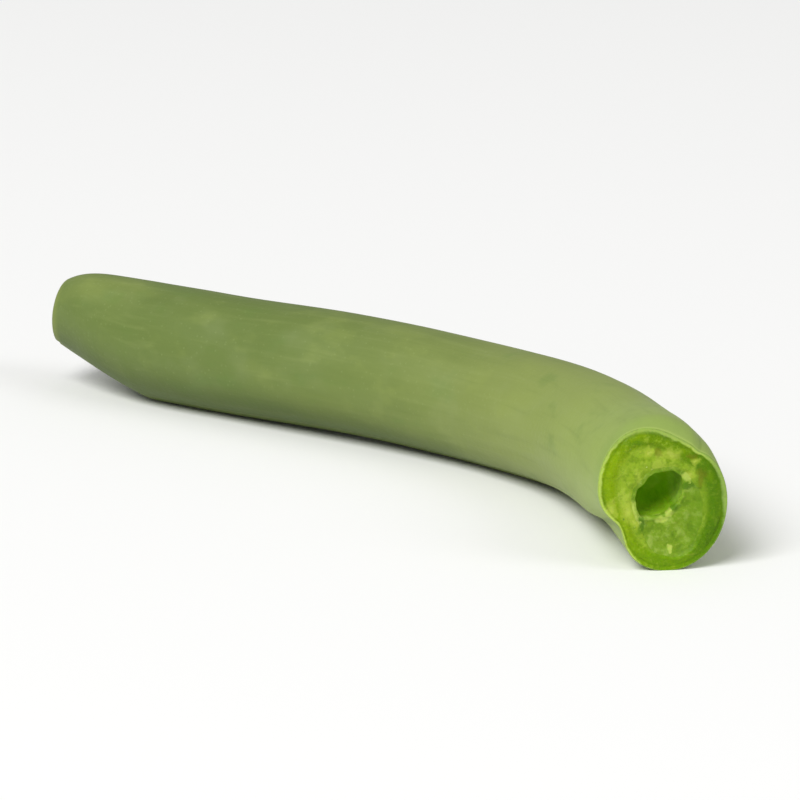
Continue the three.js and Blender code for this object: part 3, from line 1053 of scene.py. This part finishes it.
# %% Patterns and colour of the seed bed
tree = tissue.node_tree
place = in_mm(tree)
across, above = add(tree, SPLIT, [place]).outputs[1:]
patches, crumbs, grain = patterns(tree, place, (0.9, 1.0), (0.28, 0.6), (0.1, 0.5))
deep = depth_in_mm(tree, "deep")
WALLS_FROM, LOW_WALL_AT, RIGHT_WALL_AT = 0.35, -0.5, 0.7  # deep, above and across, in mm
inside = add(tree, MATH, [deep, WALLS_FROM], "SUBTRACT")
low_wall = add(tree, MATH, [LOW_WALL_AT, above], "SUBTRACT")
low_wall = add(tree, MATH, [low_wall, inside], "MINIMUM")
right_wall = add(tree, MATH, [across, RIGHT_WALL_AT], "SUBTRACT")
right_wall = add(tree, MATH, [right_wall, inside], "MINIMUM")
TISSUE_LAYERS = (
    (patches, 0.5, 0.64, 0.7, "#9ab44c"),
    (patches, 0.49, 0.34, 0.65, "#567a0e"),
    (crumbs, 0.52, 0.7, 0.4, "#9eb54a"),
    (crumbs, 0.47, 0.3, 0.4, "#547a0c"),
    (across, 0.9, 2.7, 0.45, "#5d840e"),
    # Spots of painted shade.
    (near_spots(tree, place, PAINTED_SHADE_SPOTS), 1.1, 0.5, 0.8, "#4b7408"),
    # Pale veins and seams; on the lip of the hollow partly a painted highlight.
    (near_spots(tree, place, PALE_AND_LIT_SPOTS), 1.1, 0.5, 0.8, "#b4c758"),
    # Painted shade near the hollow's mouth, and deeper down a painted glow for the light that comes back
    # through the wet walls.
    (deep, 0.35, 0.9, 0.9, "#669406"),
    (deep, 1.2, 3.4, 0.9, "#a8dc1c"),
    (low_wall, 0.0, 0.6, 0.25, "#a8d034"),
    (right_wall, 0.0, 0.4, 0.3, "#b4d85c"),
)
TISSUE_RELIEFS = (patches, 0.12), (crumbs, 0.09), (grain, 0.02)
TISSUE_SHINE = {
    "Roughness": 0.45,
    "Subsurface Weight": 0.3,
    "Subsurface Scale": 0.9 * MM,
    "Specular IOR Level": 0.2,
    "Coat Weight": 0.02,
    "Coat Roughness": 0.15,
}
dress(tissue, "#75961d", TISSUE_LAYERS, TISSUE_RELIEFS, {**WET, **TISSUE_SHINE})
print("layers of the seed bed:", len(TISSUE_LAYERS))

# %% [markdown]
# ## Dry nipped end
#
# The thin end was pinched off a while ago and has dried. It is dull and pale, tanned a little by the
# air, darker round its edge where the skin curls over it, and its torn fibres stand in fine bundles.

# %% Patterns and colour of the nipped end
tree = scar.node_tree
patches, fibres, tan = patterns(tree, in_mm(tree), (1.1, 1.0), (0.22, 0.3), (0.7, 1.0))
share = add(tree, "ShaderNodeAttribute", attribute_name="follows").outputs["Fac"]
SCAR_LAYERS = (
    (patches, 0.45, 0.7, 0.5, "#bcbb84"),
    (tan, 0.52, 0.72, 0.5, "#97824c"),
    (share, 0.45, 0.15, 0.5, "#8d9052"),
    (share, 0.62, 0.74, 0.4, "#c2c48c"),
    (share, 0.78, 0.92, 0.75, "#84904c"),
    (fibres, 0.5, 0.7, 0.5, "#cdc99c"),
    (fibres, 0.45, 0.3, 0.45, "#7c7c44"),
)
SCAR_SHINE = {"Roughness": 0.75, "IOR": 1.45}
dress(scar, "#a3a668", SCAR_LAYERS, ((patches, 0.15), (fibres, 0.1)), SCAR_SHINE)
print("layers of the nipped end:", len(SCAR_LAYERS))

# %% [markdown]
# ## Vein ends and torn cells
#
# A cut strand is glassy and a little darker than the flesh around it. A torn cell is nearly clear, so
# it looks paler than the flesh that it lies on. Both are wet and shine.

# %% Finishes of the drops
DROP_SHINE = {"Roughness": 0.35, "IOR": 1.37, "Coat Weight": 0.15, "Coat Roughness": 0.1}
for speck, ground, fleck in ((vein, "#6f8f10", "#4f7206"), (torn, "#94af38", "#b0c55a")):
    tree = speck.node_tree
    at = add(tree, "ShaderNodeTexCoord").outputs["Object"]
    place = add(tree, VECTOR, {0: at, "Scale": 1 / MM}, "SCALE")
    flecks, grain = patterns(tree, place, (0.45, 1.0), (0.08, 1.0))
    dress(speck, ground, ((flecks, 0.4, 0.65, 0.8, fleck),), ((grain, 0.02),), DROP_SHINE)
print("finishes:", len(bpy.data.materials))

# %% [markdown]
# ## The camera
#
# The camera looks down on the pod by 14 degrees, nearly straight into the cut face, from a good
# forearm's length away. A long lens keeps the far end of the pod from shrinking.

# %% The camera
AIM = Vector((0.0, 0.0, 4.5 * MM))
AZIMUTH = 50.15
ELEVATION = 14
DISTANCE = 0.42
LENS = 258
NEAREST_SEEN = 10 * MM


def facing(name, data, azimuth, elevation, distance):
    """A camera or a lamp around the pod that faces it. Azimuth 0 is the side towards -Y."""
    turn, rise = math.radians(azimuth), math.radians(elevation)
    back = Vector((math.sin(turn) * math.cos(rise), -math.cos(turn) * math.cos(rise), math.sin(rise)))
    made = in_scene(name, data)
    made.location = AIM + back * distance
    made.rotation_euler = back.to_track_quat("Z", "Y").to_euler()
    return made


camera_data = bpy.data.cameras.new("camera")
camera_data.lens = LENS
camera_data.clip_start = NEAREST_SEEN
bpy.context.scene.camera = facing("camera", camera_data, AZIMUTH, ELEVATION, DISTANCE)
print("camera:", [round(v, 3) for v in bpy.context.scene.camera.location])

# %% [markdown]
# ## The studio
#
# The pod lies on a sheet of white paper that reaches further than the camera sees. Two big soft boxes
# light it: the key stands high to the left of the camera, and a weak fill lifts the right. A dim white
# world stands for the pale walls of the room, which is what keeps the shadows open.

# %% The paper and the lights
FLOOR_HALF = 30.0
WORLD_LIGHT = 0.34
LAMPS_AWAY = 2.0
# Each lamp has its azimuth and elevation in degrees, its width in metres and its power in watts.
LAMPS = {"key": (15, 48, 1.2, 36.0), "fill": (110, 35, 1.0, 7.0)}
floor_mesh = bpy.data.meshes.new("floor")
floor_corners = [(x * FLOOR_HALF, y * FLOOR_HALF, 0) for x, y in ((-1, -1), (1, -1), (1, 1), (-1, 1))]
floor_mesh.from_pydata(floor_corners, [], [range(4)])
floor = in_scene("floor", floor_mesh)
paper = finish("white_studio_paper")
white = {"Base Color": linear("#f9f9f8"), "Roughness": 0.9}
feed(paper.node_tree.nodes["Principled BSDF"], white)
floor.data.materials.append(paper)

world = bpy.data.worlds.new("studio")
world.use_nodes = True
feed(world.node_tree.nodes["Background"], {"Color": linear("#ffffff"), "Strength": WORLD_LIGHT})
bpy.context.scene.world = world
bpy.context.scene.view_settings.view_transform = "Standard"
for name, (azimuth, elevation, width, power) in LAMPS.items():
    lamp = bpy.data.lights.new(name, "AREA")
    lamp.size = width
    lamp.energy = power
    facing(name, lamp, azimuth, elevation, LAMPS_AWAY)
print("lamps:", [(lamp.name, round(lamp.energy, 1)) for lamp in bpy.data.lights])

# %% Riding and the end
bpy.data.objects.remove(bow)
for piece in (pod, *details):
    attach(piece, "root")
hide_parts("pod")
